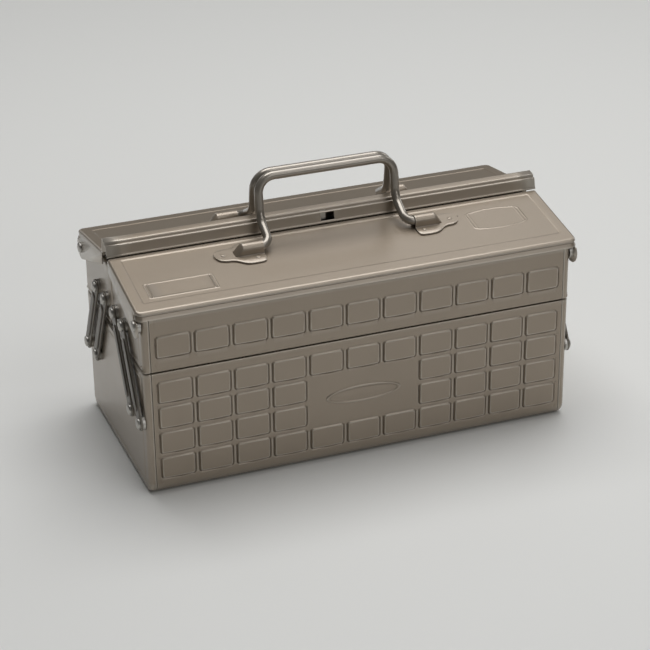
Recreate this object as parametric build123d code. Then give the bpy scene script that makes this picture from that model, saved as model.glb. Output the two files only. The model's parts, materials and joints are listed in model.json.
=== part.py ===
from build123d import *
import math
import os

# Metal tool box: a deep case, two trays that swing out on parallel arms, and a lid and a
# carrying handle on each tray. Millimetres. The case stands on z = 0, its length runs along X,
# the front is at -Y, and the front and rear halves mirror each other about the plane y = 0.

# Sheet steel
sheet = 0.8
bend = 2.0                      # outside radius of a plain fold
clearance = 0.3                 # running gap beside a part that moves
hole_gap = 0.05                 # radial gap of a rivet in its hole

# Case
case_length = 342.0
case_depth = 159.0
case_height = 101.0
case_corner = 9.0               # lower corners, seen from the end
case_edge = 4.0                 # folds between the end panels and their flanges
flange_reach = 5.4              # end panel flange on the front, bottom and rear
lap_width = 6.0                 # joggled strip of the wrap under that flange
flange_gap = 0.2

# Trays
seam_gap = 0.4                  # between the case rim and a tray's bottom
centre_gap = 1.2                # between the two trays
tray_rim = 150.6                # top of a tray's outer wall
tray_centre_rim = 157.0         # top of a tray's inner wall, under the ridge
tray_centre_edge = 2.5
gable_flat = 12.0               # half width of the level middle of the gable

# Lids
lid_length = 350.0
lid_depth = 164.0
lid_edge_height = 152.2         # outer fold
lid_inner_height = 164.15       # inner edge
lid_inner_edge = 7.6            # distance of the inner edge from the middle
lip_bottom = 145.5
lid_corner = 5.0
lid_fold = 2.0
lid_hem = 3.2
flange_inner_bottom = 153.5     # lower edge of a lid's end flange, at the middle
ear_radius = 9.0

# Ridge cap, part of the rear lid
cap_top_rear = 176.4
cap_top_front = 174.8
cap_half_top = 4.6
cap_foot = 7.3
cap_foot_height = 164.6
lock_slot_width = 11.0
lock_slot_height = 6.0
lock_slot_centre = 169.6
tongue_width = 4.5
tongue_gauge = 1.2
tongue_length = 7.6
tongue_offset = -3.0            # from the middle of the slot
tongue_back = 3.0               # from the plane y = 0

# Pressed pads on the front and rear
pad_columns = 11
pad_pitch = 29.6
pad_width = 26.4
pad_height = 18.0
pad_corner = 2.0
pad_rise = 1.0
pad_edge = 0.6
case_pad_bottoms = [12.8, 33.9, 55.0, 76.0]
tray_pad_bottom = 113.1
blank_half_columns = 1          # columns each side of the middle one left out of rows 2 and 3
badge_width = 61.0
badge_height = 14.5
badge_rise = 0.7
badge_border = 1.6

# Arms and pivots
pivot_spacing = 23.8            # between the two arms of a tray
inner_top = 12.6                # |y| of the inner arm's top pivot
inner_bottom = 48.6
pivot_top = 122.6
pivot_bottom = 59.0
arm_width = 11.5
arm_gauge = 1.6
rib_width = 4.4
rib_rise = 1.0
rib_stop = 13.0                 # from a pivot to the end of the rib
spacer_thickness = 2.0
spacer_radius = 5.5
rivet_shank = 2.0
rivet_head = 4.2
rivet_head_height = 2.0
rivet_tail = 2.3
rivet_tail_gap = 0.15           # keeps the tail off the inside of the nearest fold
rivet_tail_height = 1.2
hinge_pivot_y = 74.0            # |y| of a lid's hinge
hinge_pivot_z = 139.5
hinge_spacer_radius = 5.0

# Handles and their brackets
bar_radius = 3.4
grip_height = 209.3
grip_offset = 3.75              # |y| of a grip
leg_x = 55.0
leg_knee = 178.0                # where a leg turns outwards, just above the ridge
leg_offset = 8.2                # |y| of a leg there
grip_bend = 13.0
knee_bend = 14.0
foot_bend = 8.0
pivot_in_lid = 53.2             # distance up the slope from the outer fold
plate_gauge = 1.2
plate_gap = 0.25                # under the bar
saddle_gap = 0.15
saddle_gauge = 1.0
saddle_start = 63.6
saddle_end = 84.0
bar_end = 81.5
lobe_radius = 6.8
side_lobe_x = 91.8
side_lobe_in = 54.0
front_lobe_x = 67.2
front_lobe_in = 45.0
plate_half = 6.6
stud_radius = 2.2
stud_height = 0.9

half_length = case_length / 2
half_depth = case_depth / 2
half_lid_length = lid_length / 2
half_lid_depth = lid_depth / 2
face_half = half_length - flange_reach - flange_gap
tray_bottom = case_height + seam_gap
tray_depth = half_depth - centre_gap / 2
tray_middle = (half_depth + centre_gap / 2) / 2
lid_run = half_lid_depth - lid_inner_edge
lid_slope = math.degrees(math.atan2(lid_inner_height - lid_edge_height, lid_run))
lid_width = math.hypot(lid_run, lid_inner_height - lid_edge_height)
arm_length = math.hypot(inner_bottom - inner_top, pivot_top - pivot_bottom)
arm_inside = half_length + spacer_thickness + 0.2
arm_outside = arm_inside + arm_gauge
flange_inside = half_lid_length - sheet
bar_axis = plate_gauge + plate_gap + bar_radius
STANDING = (Align.CENTER, Align.CENTER, Align.MIN)


def front_back(shape):
    """The same piece for the other half of the box, front to rear."""
    return shape.mirror(Plane.XZ)


def left_right(shape):
    """The same piece for the other end of the box."""
    return shape.mirror(Plane.YZ)


def both_ends(solids):
    """The solids and their mirror images at the other end."""
    return solids + [left_right(solid) for solid in solids]


def disc(radius, start, end, y, z):
    """A round piece along X, from start to end."""
    height = end - start
    return Pos(start, y, z) * Rot(0, 90, 0) * Cylinder(radius, height, align=STANDING)


def across(points, start, end):
    """A prism along X with the outline points, given as (y, z)."""
    outline = Plane.YZ * make_face(Polyline(*points, close=True))
    return Pos(start, 0, 0) * extrude(outline, end - start)


def lid_line(y, drop=0.0):
    """Height of a lid's top face at the distance y from the middle, lowered by drop."""
    rise = (half_lid_depth - abs(y)) * math.tan(math.radians(lid_slope))
    return lid_edge_height + rise - drop


def folded_trough(length, width, height, corner):
    """A sheet folded to a U, open at the top, standing on z = 0."""
    outer = Box(length, width, height, align=STANDING)
    outer = fillet(outer.edges().filter_by(Axis.X).group_by(Axis.Z)[0], corner)
    inner = Pos(0, 0, sheet) * Box(length, width - 2 * sheet, height, align=STANDING)
    inner = fillet(inner.edges().filter_by(Axis.X).group_by(Axis.Z)[0], corner - sheet)
    return outer - inner


def wrap(width, height, corner):
    """A folded trough whose ends are stepped in by one sheet, to go under the end flanges."""
    body = folded_trough(2 * face_half, width, height, corner)
    lap_start = face_half - lap_width
    lap_end = half_length - case_edge - flange_gap
    lap = folded_trough(lap_end - lap_start, width - 2 * sheet, height - sheet, corner - sheet)
    middle = (lap_start + lap_end) / 2
    for side in (-1, 1):
        body += Pos(side * middle, 0, sheet) * lap
    return body


def pressed_pads(bottoms, blank_rows=()):
    """The raised pads of a front face, as a list; rows in blank_rows leave the middle free."""
    outline = Plane.XZ * RectangleRounded(pad_width, pad_height, pad_corner)
    pad = extrude(outline, pad_rise + sheet / 2)
    pad = fillet(pad.faces().sort_by(Axis.Y)[0].edges(), pad_edge)
    pads = []
    for row, bottom in enumerate(bottoms):
        for column in range(pad_columns):
            from_middle = column - (pad_columns - 1) // 2
            if row in blank_rows and abs(from_middle) <= blank_half_columns:
                continue
            place = (from_middle * pad_pitch, -half_depth + sheet / 2, bottom + pad_height / 2)
            pads.append(Pos(*place) * pad)
    return pads


def oval_badge():
    """A plain oval plate with a raised border, in the middle of the case's front."""
    oval = extrude(Plane.XZ * Ellipse(badge_width / 2, badge_height / 2), badge_rise + sheet / 2)
    inset = Ellipse(badge_width / 2 - 2 * badge_border, badge_height / 2 - badge_border)
    oval -= Pos(0, -badge_rise / 2 - sheet / 2, 0) * extrude(Plane.XZ * inset, badge_rise)
    height = (case_pad_bottoms[1] + case_pad_bottoms[2] + pad_height) / 2
    return Pos(0, -half_depth + sheet / 2, height) * oval


def case_shell():
    pads = pressed_pads(case_pad_bottoms, blank_rows=(1, 2))
    shell = wrap(case_depth, case_height, case_corner)
    return shell + pads + [front_back(pad) for pad in pads] + oval_badge()


def case_pivot_places():
    """The (y, z) of the lower arm pivots."""
    outer_bottom = inner_bottom + pivot_spacing
    spots = []
    for y in (inner_bottom, outer_bottom):
        spots += [(-y, pivot_bottom), (y, pivot_bottom)]
    return spots


def tray_pivot_places():
    """The (y, z) of the front tray's arm pivots."""
    return [(-inner_top, pivot_top), (-inner_top - pivot_spacing, pivot_top)]


def case_end():
    """The right end panel: a wall with a flange turned in along the front, bottom and rear."""
    block = Pos(half_length, 0, 0) * Box(
        flange_reach, case_depth, case_height, align=(Align.MAX, Align.CENTER, Align.MIN)
    )
    block = fillet(block.edges().filter_by(Axis.X).group_by(Axis.Z)[0], case_corner)
    rim = block.faces().sort_by(Axis.X)[-1].edges().sort_by(Axis.Z)[:-1]
    block = fillet(rim, case_edge)
    cavity = Pos(half_length - sheet, 0, sheet) * Box(
        2 * flange_reach, case_depth - 2 * sheet, case_height, align=(Align.MAX, Align.CENTER, Align.MIN)
    )
    cavity = fillet(cavity.edges().filter_by(Axis.X).group_by(Axis.Z)[0], case_corner - sheet)
    rim = cavity.faces().sort_by(Axis.X)[-1].edges().sort_by(Axis.Z)[:-1]
    cavity = fillet(rim, case_edge - sheet)
    panel = block - cavity
    for y, z in case_pivot_places():
        panel -= disc(rivet_shank + hole_gap, half_length - 2 * sheet, half_length + sheet, y, z)
    return panel


def arm_rivet(y, z):
    """A domed rivet that holds an arm at the right end, with its tail inside the wall."""
    head_start = arm_outside + 0.2
    head = disc(rivet_head, head_start, head_start + rivet_head_height, y, z)
    head = fillet(head.faces().sort_by(Axis.X)[-1].edges(), rivet_head_height - 0.3)
    tail_end = half_length - sheet - rivet_tail_gap
    tail = disc(rivet_tail, tail_end - rivet_tail_height, tail_end, y, z)
    return head + disc(rivet_shank, tail_end, head_start, y, z) + tail


def ring(radius, start, end, y, z):
    """A washer round a rivet's shank."""
    hole = disc(rivet_shank + hole_gap, start, end, y, z)
    return disc(radius, start, end, y, z) - hole


def arm_spacer(y, z):
    return ring(spacer_radius, half_length, half_length + spacer_thickness, y, z)


def hinge_rivet():
    """The rivet of the front lid's right hinge."""
    y, z = -hinge_pivot_y, hinge_pivot_z
    head_start = half_lid_length + 0.2
    head = disc(rivet_head, head_start, head_start + rivet_head_height, y, z)
    head = fillet(head.faces().sort_by(Axis.X)[-1].edges(), rivet_head_height - 0.3)
    tail_end = half_length - sheet - rivet_tail_gap
    tail = disc(rivet_tail, tail_end - rivet_tail_height, tail_end, y, z)
    return head + disc(rivet_shank, tail_end, head_start, y, z) + tail


def hinge_spacer():
    return ring(hinge_spacer_radius, half_length, flange_inside - clearance, -hinge_pivot_y, hinge_pivot_z)


def tray_shell():
    """The front tray's wrap: outer wall with its row of pads, bottom, and a taller inner wall."""
    outer_height = tray_rim - tray_bottom
    shell = Pos(0, -tray_middle, tray_bottom) * wrap(tray_depth, outer_height, bend)
    extra = tray_centre_rim - tray_rim
    wall = Box(2 * face_half, sheet, extra, align=(Align.CENTER, Align.MAX, Align.MIN))
    shell += Pos(0, -centre_gap / 2, tray_rim) * wall
    return shell + pressed_pads([tray_pad_bottom])


def tray_end():
    """The front tray's right end panel, with a gable that follows the lid."""
    low, high = -half_depth, -centre_gap / 2
    top = tray_rim + (half_depth - gable_flat) * math.tan(math.radians(lid_slope))
    gable = [(low, tray_bottom), (high, tray_bottom), (high, tray_centre_rim),
             (-gable_flat, tray_centre_rim), (-gable_flat, top), (low, tray_rim)]
    block = across(gable, half_length - flange_reach, half_length)
    upright = block.edges().filter_by(Axis.Z).group_by(Axis.X)[-1]
    block = fillet(upright.sort_by(Axis.Y)[0], case_edge)
    upright = block.edges().filter_by(Axis.Z).group_by(Axis.X)[-1]
    block = fillet(upright.sort_by(Axis.Y)[-1], tray_centre_edge)
    inside = [(low + sheet, tray_bottom + sheet), (high - sheet, tray_bottom + sheet),
              (high - sheet, lid_edge_height + lid_run), (low + sheet, lid_edge_height + lid_run)]
    cavity = across(inside, half_length - 3 * flange_reach, half_length - sheet)
    upright = cavity.edges().filter_by(Axis.Z).group_by(Axis.X)[-1]
    cavity = fillet(upright.sort_by(Axis.Y)[0], case_edge - sheet)
    upright = cavity.edges().filter_by(Axis.Z).group_by(Axis.X)[-1]
    cavity = fillet(upright.sort_by(Axis.Y)[-1], tray_centre_edge - sheet)
    panel = block - cavity
    for y, z in tray_pivot_places() + [(-hinge_pivot_y, hinge_pivot_z)]:
        panel -= disc(rivet_shank + hole_gap, half_length - 2 * sheet, half_length + sheet, y, z)
    return panel


def swing_arm(bottom_y):
    """An arm at the right front, from its lower pivot on the case to its tray."""
    plane = Plane(origin=(arm_inside, -bottom_y, pivot_bottom),
                  x_dir=(0, inner_bottom - inner_top, pivot_top - pivot_bottom), z_dir=(1, 0, 0))
    strip = Pos(arm_length / 2, 0) * SlotCenterToCenter(arm_length, arm_width)
    for along in (0, arm_length):
        strip -= Pos(along, 0) * Circle(rivet_shank + hole_gap)
    arm = extrude(plane * strip, arm_gauge)
    rib_length = arm_length - 2 * rib_stop
    slot = Pos(arm_length / 2, 0) * SlotCenterToCenter(rib_length, rib_width)
    rib = extrude(plane.offset(arm_gauge / 2) * slot, arm_gauge / 2 + rib_rise)
    rib = fillet(rib.faces().sort_by(Axis.X)[-1].edges(), rib_rise - 0.2)
    return arm + rib


def lid_prism(inset, low):
    """The front lid's outside, or its inside when inset by one sheet, as a solid down to low."""
    half = half_lid_length - inset
    outer_y = -half_lid_depth + inset
    inner_y = -lid_inner_edge - inset
    drop = inset / math.cos(math.radians(lid_slope))
    outline = [(outer_y, low), (outer_y, lid_line(outer_y, drop)),
               (inner_y, lid_line(inner_y, drop)), (inner_y, low)]
    prism = across(outline, -half, half)
    prism = fillet(prism.edges().filter_by(Axis.Z).group_by(Axis.Y)[0], lid_corner - inset)
    slope = prism.faces().sort_by(Axis.Z)[-1]
    return fillet(slope.edges().sort_by(Axis.Y)[:-1], lid_fold - inset)


def lid_end_flange():
    """The flat flap at the right end of the front lid, with the ear that takes the hinge rivet."""
    inner_y = -lid_inner_edge - sheet
    ear = Pos(0, -hinge_pivot_y, hinge_pivot_z)
    lean = math.atan2(flange_inner_bottom - hinge_pivot_z, hinge_pivot_y - lid_inner_edge)
    lean += math.asin(ear_radius / math.hypot(hinge_pivot_y - lid_inner_edge,
                                              flange_inner_bottom - hinge_pivot_z))
    touch_y = -hinge_pivot_y + ear_radius * math.sin(lean)
    touch_z = hinge_pivot_z - ear_radius * math.cos(lean)
    shoulder = -half_lid_depth + lid_corner
    flap = [(touch_y, touch_z), (inner_y, flange_inner_bottom),
            (inner_y, lid_line(inner_y, lid_fold)), (shoulder, lid_line(shoulder, lid_fold)),
            (shoulder, hinge_pivot_z)]
    flange = across(flap, flange_inside, half_lid_length)
    flange += ear * disc(ear_radius, flange_inside, half_lid_length, 0, 0)
    notch = [(shoulder, lip_bottom - sheet), (shoulder, lid_edge_height),
             (-2 * half_lid_depth, lid_edge_height), (-2 * half_lid_depth, lip_bottom - sheet)]
    flange -= across(notch, half_length, half_lid_length + sheet)
    return flange - disc(rivet_shank + hole_gap, half_length, half_lid_length + sheet,
                         -hinge_pivot_y, hinge_pivot_z)


def lid_sheet():
    """The front lid: sloped top, lip along the front, hem along the inner edge, end flanges."""
    low = lip_bottom - 4 * sheet
    top = lid_prism(0, low) - lid_prism(sheet, low - sheet)
    hem_bottom = lid_inner_height - lid_hem
    below = [(-lid_depth, 0), (-lid_depth, lip_bottom), (-hinge_pivot_y, lip_bottom),
             (-2 * lid_inner_edge, hem_bottom), (0, hem_bottom), (0, 0)]
    top -= across(below, -lid_length, lid_length)
    return top + both_ends([lid_end_flange()])


def ridge_cap():
    """The raised ridge along the rear lid's inner edge, open at both ends, with a lock slot."""
    foot_rear = lid_line(lid_inner_edge)
    outside = [(cap_foot, foot_rear), (cap_half_top, cap_top_rear),
               (-cap_half_top, cap_top_front), (-cap_foot, cap_foot_height)]
    inside = [(cap_foot - sheet, foot_rear), (cap_half_top - sheet, cap_top_rear - sheet),
              (-cap_half_top + sheet, cap_top_front - sheet), (-cap_foot + sheet, cap_foot_height)]
    strip = across(outside + inside[::-1], -half_lid_length, half_lid_length)
    foot = [(cap_foot - sheet, foot_rear - sheet), (lid_inner_edge + sheet, foot_rear - sheet),
            (lid_inner_edge + sheet, foot_rear), (cap_foot - sheet, foot_rear)]
    strip += across(foot, -half_lid_length, half_lid_length)
    slot = Box(lock_slot_width, cap_foot, lock_slot_height)
    return strip - Pos(0, -cap_foot, lock_slot_centre) * slot


def lock_tongue():
    """A small steel tab that hangs inside the ridge, behind the left part of the lock slot."""
    top = cap_top_front - sheet
    tab = Box(tongue_width, tongue_gauge, tongue_length, align=(Align.CENTER, Align.CENTER, Align.MAX))
    return Pos(tongue_offset, -tongue_back, top) * tab


def on_front_lid(shape):
    """Stand a shape on the front lid: X along the box, Y up the slope from the outer fold."""
    slope = math.radians(lid_slope)
    place = Plane(origin=(0, -half_lid_depth, lid_edge_height), x_dir=(1, 0, 0),
                  z_dir=(0, -math.sin(slope), math.cos(slope)))
    return place * shape


def bracket_studs():
    """The two spots that fix a right-hand bracket to the front lid."""
    studs = []
    for x, inward in ((side_lobe_x, side_lobe_in), (front_lobe_x, front_lobe_in)):
        stud = Pos(x, inward, plate_gauge) * Cylinder(stud_radius, stud_height, align=STANDING)
        stud = fillet(stud.faces().sort_by(Axis.Z)[-1].edges(), stud_height - 0.2)
        studs.append(on_front_lid(stud))
    return studs


def handle_bracket():
    """The right-hand bracket on the front lid: a lobed base plate and a half-round saddle."""
    length = saddle_end - saddle_start
    middle = (saddle_start + saddle_end) / 2
    plate = Pos(middle, pivot_in_lid) * Rectangle(length, 2 * plate_half)
    plate += Pos(side_lobe_x, side_lobe_in) * Circle(lobe_radius)
    plate += Pos(front_lobe_x, front_lobe_in) * Circle(lobe_radius)
    plate += Pos(front_lobe_x, (front_lobe_in + pivot_in_lid) / 2) * Rectangle(
        2 * lobe_radius, pivot_in_lid - front_lobe_in)
    plate += Pos((middle + side_lobe_x) / 2, side_lobe_in) * Rectangle(
        side_lobe_x - middle, 2 * lobe_radius)
    inner = bar_radius + saddle_gap
    outer = inner + saddle_gauge
    section = Plane(origin=(saddle_start, pivot_in_lid, 0), x_dir=(0, 1, 0), z_dir=(1, 0, 0))
    shell = Pos(0, bar_axis) * Circle(outer) + Pos(0, bar_axis / 2) * Rectangle(2 * outer, bar_axis)
    hollow = Pos(0, bar_axis) * Circle(inner)
    hollow += Pos(0, (bar_axis + plate_gauge) / 2) * Rectangle(2 * inner, bar_axis - plate_gauge)
    saddle = extrude(section * shell, length) - extrude(section * hollow, length - saddle_gauge)
    return on_front_lid(extrude(plate, plate_gauge) + saddle)


def bail_handle():
    """The front handle: one bent bar whose feet turn outwards into the brackets."""
    slope = math.radians(lid_slope)
    foot_y = -half_lid_depth + pivot_in_lid * math.cos(slope) - bar_axis * math.sin(slope)
    foot_z = lid_edge_height + pivot_in_lid * math.sin(slope) + bar_axis * math.cos(slope)
    right = [(leg_x, -grip_offset, grip_height), (leg_x, -leg_offset, leg_knee),
             (leg_x, foot_y, foot_z), (bar_end, foot_y, foot_z)]
    left = [(-x, y, z) for x, y, z in reversed(right)]
    bends = [foot_bend, knee_bend, grip_bend]
    path = FilletPolyline(*left, *right, radius=bends + bends[::-1])
    start = Plane(origin=left[0], z_dir=(1, 0, 0))
    print("front handle pivot", round(foot_y, 3), round(foot_z, 3))
    return sweep(start * Circle(bar_radius), path=path)


def save(name, shape):
    """Write one piece, or a list of separate solids that share a node."""
    if isinstance(shape, list):
        shape = Compound(children=shape)
    export_step(shape, f"parts/{name}.step")


def save_pair(name, shape):
    """One piece for each end of the box."""
    save(name + "_right", shape)
    save(name + "_left", left_right(shape))


os.makedirs("parts", exist_ok=True)

save("case_shell", case_shell())
save_pair("case_end", case_end())
save("case_pivot_rivets", both_ends([arm_rivet(y, z) for y, z in case_pivot_places()]))
save("case_pivot_spacers", both_ends([arm_spacer(y, z) for y, z in case_pivot_places()]))

fasteners = {
    "tray_pivot_rivets": [arm_rivet(y, z) for y, z in tray_pivot_places()],
    "tray_pivot_spacers": [arm_spacer(y, z) for y, z in tray_pivot_places()],
    "lid_hinge_rivets": [hinge_rivet()],
    "lid_hinge_spacers": [hinge_spacer()],
    "bracket_studs": bracket_studs(),
}
singles = {"tray_shell": tray_shell(), "handle": bail_handle()}
pairs = {
    "tray_end": tray_end(),
    "inner_arm": swing_arm(inner_bottom),
    "outer_arm": swing_arm(inner_bottom + pivot_spacing),
    "handle_bracket": handle_bracket(),
}
for name, solids in fasteners.items():
    save("front_" + name, both_ends(solids))
    save("rear_" + name, both_ends([front_back(solid) for solid in solids]))
for name, shape in singles.items():
    save("front_" + name, shape)
    save("rear_" + name, front_back(shape))
for name, shape in pairs.items():
    save_pair("front_" + name, shape)
    save_pair("rear_" + name, front_back(shape))

front_lid = lid_sheet()
save("front_lid", front_lid)
save("rear_lid", front_back(front_lid) + ridge_cap())
save("lock_tongue", lock_tongue())
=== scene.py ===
import json
import math

import bmesh
import bpy
import numpy as np
from mathutils import Matrix, Vector

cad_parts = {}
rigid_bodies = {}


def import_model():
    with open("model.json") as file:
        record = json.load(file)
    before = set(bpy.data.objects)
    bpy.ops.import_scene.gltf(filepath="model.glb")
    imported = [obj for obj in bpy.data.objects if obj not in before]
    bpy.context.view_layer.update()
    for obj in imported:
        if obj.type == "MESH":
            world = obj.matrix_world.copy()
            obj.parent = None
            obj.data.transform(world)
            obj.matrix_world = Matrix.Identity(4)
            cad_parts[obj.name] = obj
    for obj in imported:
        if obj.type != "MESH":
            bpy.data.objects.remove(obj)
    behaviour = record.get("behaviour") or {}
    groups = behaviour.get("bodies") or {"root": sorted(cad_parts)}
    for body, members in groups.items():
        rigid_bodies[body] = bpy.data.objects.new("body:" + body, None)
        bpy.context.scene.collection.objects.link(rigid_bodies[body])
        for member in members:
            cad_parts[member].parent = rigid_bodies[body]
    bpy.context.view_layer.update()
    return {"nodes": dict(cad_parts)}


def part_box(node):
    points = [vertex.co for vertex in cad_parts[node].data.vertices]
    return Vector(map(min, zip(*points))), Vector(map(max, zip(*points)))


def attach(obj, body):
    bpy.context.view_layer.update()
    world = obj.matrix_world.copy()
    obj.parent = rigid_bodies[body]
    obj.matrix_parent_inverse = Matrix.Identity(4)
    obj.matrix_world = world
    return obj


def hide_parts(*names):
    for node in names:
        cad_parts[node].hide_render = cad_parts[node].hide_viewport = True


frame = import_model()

MM = 0.001


def corners(node):
    """A CAD node's lowest and highest corner in millimetres."""
    low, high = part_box(node)
    return np.array(low) / MM, np.array(high) / MM


# Driving sizes, in millimetres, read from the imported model
_, case_far = corners("case_end_right")
tray_near, tray_far = corners("front_tray_end_right")
_, lid_far = corners("front_lid")
arm_near, arm_far = corners("front_inner_arm_right")
outer_near, outer_far = corners("front_outer_arm_right")
_, handle_far = corners("front_handle")

SHEET = 0.8
FOLD_STEPS = 6
HALF_LENGTH = case_far[0]
HALF_DEPTH = case_far[1]
CASE_TOP = case_far[2]
CASE_CORNER = 9.0
END_FOLD = 4.0
END_REACH = 5.4
SEAM = HALF_LENGTH - END_REACH
WELD_X = SEAM - 3.4
TRAY_BOTTOM = tray_near[2]
TRAY_INNER = -tray_far[1]
TRAY_RIM = 150.6
TRAY_CENTRE_RIM = 157.0
GABLE_FLAT = 12.0
TRAY_BEND = 2.0

HALF_LID = lid_far[0]
LID_FRONT = 82.0
LID_EDGE = 152.2
LID_INNER = -lid_far[1]
LID_INNER_TOP = lid_far[2]
SLOPE = math.atan2(LID_INNER_TOP - LID_EDGE, LID_FRONT - LID_INNER)
LIP_BOTTOM = 145.5
LID_CORNER = 5.0
LID_FOLD = 2.4
END_LID_FOLD = 2.0
HINGE_Y = 74.0
HINGE_Z = 139.5
EAR = 9.0
FLANGE_END = 153.5

PAD_PITCH = 29.6
PAD_WIDTH = 26.4
PAD_HEIGHT = 18.0
PAD_CORNER = 2.2
PAD_RISE = 1.0
PAD_GROOVE = 0.6
PAD_BEVEL = 0.9
CASE_PAD_ROWS = (12.8, 33.9, 55.0, 76.0)
TRAY_PAD_ROW = 113.1

ARM_WIDTH = 11.5
PIVOT_TOP = arm_far[2] - ARM_WIDTH / 2
PIVOT_BOTTOM = arm_near[2] + ARM_WIDTH / 2
INNER_TOP = -(arm_far[1] - ARM_WIDTH / 2)
INNER_BOTTOM = -(arm_near[1] + ARM_WIDTH / 2)
OUTER_TOP = -(outer_far[1] - ARM_WIDTH / 2)
OUTER_BOTTOM = -(outer_near[1] + ARM_WIDTH / 2)
ARM_INSIDE = arm_near[0]
ARM_GAUGE = 1.6
RIB_RISE = 1.0

BAR = 3.4
GRIP_HEIGHT = handle_far[2] - BAR
GRIP_OFFSET = 3.75
LEG_X = 55.0
LEG_KNEE = 178.0
LEG_OFFSET = 8.2
PIVOT_IN_LID = 53.2
FOOT_Y = 30.242
FOOT_Z = 165.425
BAR_END = 77.0
STUDS_IN_LID = ((91.8, 54.0), (67.2, 45.0))
STUD_LIFT = 1.15
PIVOT_HEAD = (4.2, 2.2, 0.5)


# ---------------------------------------------------------------- camera, light and floor

camera_data = bpy.data.cameras.new("studio_camera")
camera_data.lens = 119.0
camera_data.sensor_width = 36.0
camera_data.shift_x = -0.0018
camera_data.clip_start = 0.05
camera_data.clip_end = 60.0
camera = bpy.data.objects.new("studio_camera", camera_data)
bpy.context.collection.objects.link(camera)
right = Vector((0.9350, -0.3543, -0.0110)).normalized()
forward = Vector((0.3126, 0.8387, -0.4459)).normalized()
right = (right - forward * right.dot(forward)).normalized()
up = right.cross(forward)
camera.matrix_world = Matrix((
    (right.x, up.x, -forward.x, -0.5280),
    (right.y, up.y, -forward.y, -1.4168),
    (right.z, up.z, -forward.z, 0.8271),
    (0, 0, 0, 1)))
bpy.context.scene.camera = camera


def softbox(name, place, aim, width, depth, power):
    """A rectangular soft light at place, turned towards aim, in metres."""
    light = bpy.data.lights.new(name, "AREA")
    light.shape = "RECTANGLE"
    light.size = width
    light.size_y = depth
    light.energy = power
    stand = bpy.data.objects.new(name, light)
    bpy.context.collection.objects.link(stand)
    stand.location = place
    stand.rotation_euler = (Vector(aim) - Vector(place)).to_track_quat("-Z", "Y").to_euler()


softbox("overhead_softbox", (0.16, 0.45, 2.0), (0.1, 0.05, 0.0), 1.8, 1.5, 32.0)
softbox("right_softbox", (2.0, 0.6, 1.2), (0.05, 0.0, 0.1), 0.8, 1.0, 5.0)
softbox("front_softbox", (0.72, -1.3, 1.9), (0.0, 0.0, 0.1), 1.5, 0.9, 7.0)
softbox("front_strip", (0.75, -2.3, 1.1), (0.0, 0.0, 0.12), 1.5, 0.6, 6.5)
softbox("back_left_softbox", (-0.5, 2.4, 0.9), (-0.1, 0.0, 0.15), 0.9, 0.7, 2.0)
softbox("back_right_softbox", (1.1, 1.6, 1.6), (0.1, 0.0, 0.1), 0.9, 0.8, 1.6)

world = bpy.data.worlds.new("studio")
world.use_nodes = True
world.node_tree.nodes["Background"].inputs["Color"].default_value = (0.90, 0.91, 0.90, 1)
world.node_tree.nodes["Background"].inputs["Strength"].default_value = 0.08
bpy.context.scene.world = world
bpy.context.scene.view_settings.view_transform = "Standard"
bpy.context.scene.view_settings.look = "None"


# ---------------------------------------------------------------- finishes

class Flow:
    """A number that runs through a finish; sums on it become Math nodes."""

    def __init__(self, finish, socket):
        self.finish = finish
        self.socket = socket

    def sum(self, operation, *terms):
        return self.finish.node("ShaderNodeMath", {"operation": operation}, dict(enumerate(terms)))

    def __add__(self, other):
        return self.sum("ADD", self, other)

    def __sub__(self, other):
        return self.sum("SUBTRACT", self, other)

    def __rsub__(self, other):
        return self.sum("SUBTRACT", other, self)

    def __mul__(self, other):
        return self.sum("MULTIPLY", self, other)

    __radd__ = __add__
    __rmul__ = __mul__

    def clipped(self, low, high):
        """0 below low, 1 above high and even in between."""
        return self.finish.node("ShaderNodeMapRange", {"clamp": True},
                                {"Value": self, "From Min": low, "From Max": high})


class Finish:
    """A material whose colour, sheen and relief are worked out from the place on the object."""

    def __init__(self, name):
        self.material = bpy.data.materials.new(name)
        self.material.use_nodes = True
        self.tree = self.material.node_tree
        self.tree.nodes.clear()
        self.surface = self.tree.nodes.new("ShaderNodeBsdfPrincipled")
        output = self.tree.nodes.new("ShaderNodeOutputMaterial")
        self.tree.links.new(self.surface.outputs[0], output.inputs[0])
        self.place = self.node("ShaderNodeTexCoord", {}, {}, "Object")

    def join(self, socket, value):
        if isinstance(value, Flow):
            self.tree.links.new(value.socket, socket)
        else:
            socket.default_value = value

    def node(self, kind, settings, values, output=0):
        node = self.tree.nodes.new(kind)
        for key, setting in settings.items():
            setattr(node, key, setting)
        for key, value in values.items():
            self.join(node.inputs[key], value)
        return Flow(self, node.outputs[output])

    def noise(self, per_mm, detail=2.0, rough=0.5):
        """Noise with about per_mm waves in a millimetre."""
        return self.node("ShaderNodeTexNoise", {},
                         {"Vector": self.place, "Scale": per_mm / MM, "Detail": detail, "Roughness": rough})

    def blend(self, factor, low, high):
        """Colours low and high mixed by factor."""
        node = self.tree.nodes.new("ShaderNodeMix")
        node.data_type = "RGBA"
        for key, value in ((0, factor), (6, low), (7, high)):
            if key and not isinstance(value, Flow):
                value = (*value, 1)
            self.join(node.inputs[key], value)
        return Flow(self, node.outputs[2])

    def raised(self, height, depth):
        """A Bump node: height between 0 and 1 stands for depth metres."""
        return self.node("ShaderNodeBump", {}, {"Strength": 1.0, "Distance": depth, "Height": height})

    def set(self, **values):
        for key, value in values.items():
            self.join(self.surface.inputs[key.replace("_", " ")], value)


def linear(red, green, blue):
    """A display colour, 0 to 255, as the renderer's linear colour."""
    return tuple(((c / 255 + 0.055) / 1.055) ** 2.4 for c in (red, green, blue))


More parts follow.
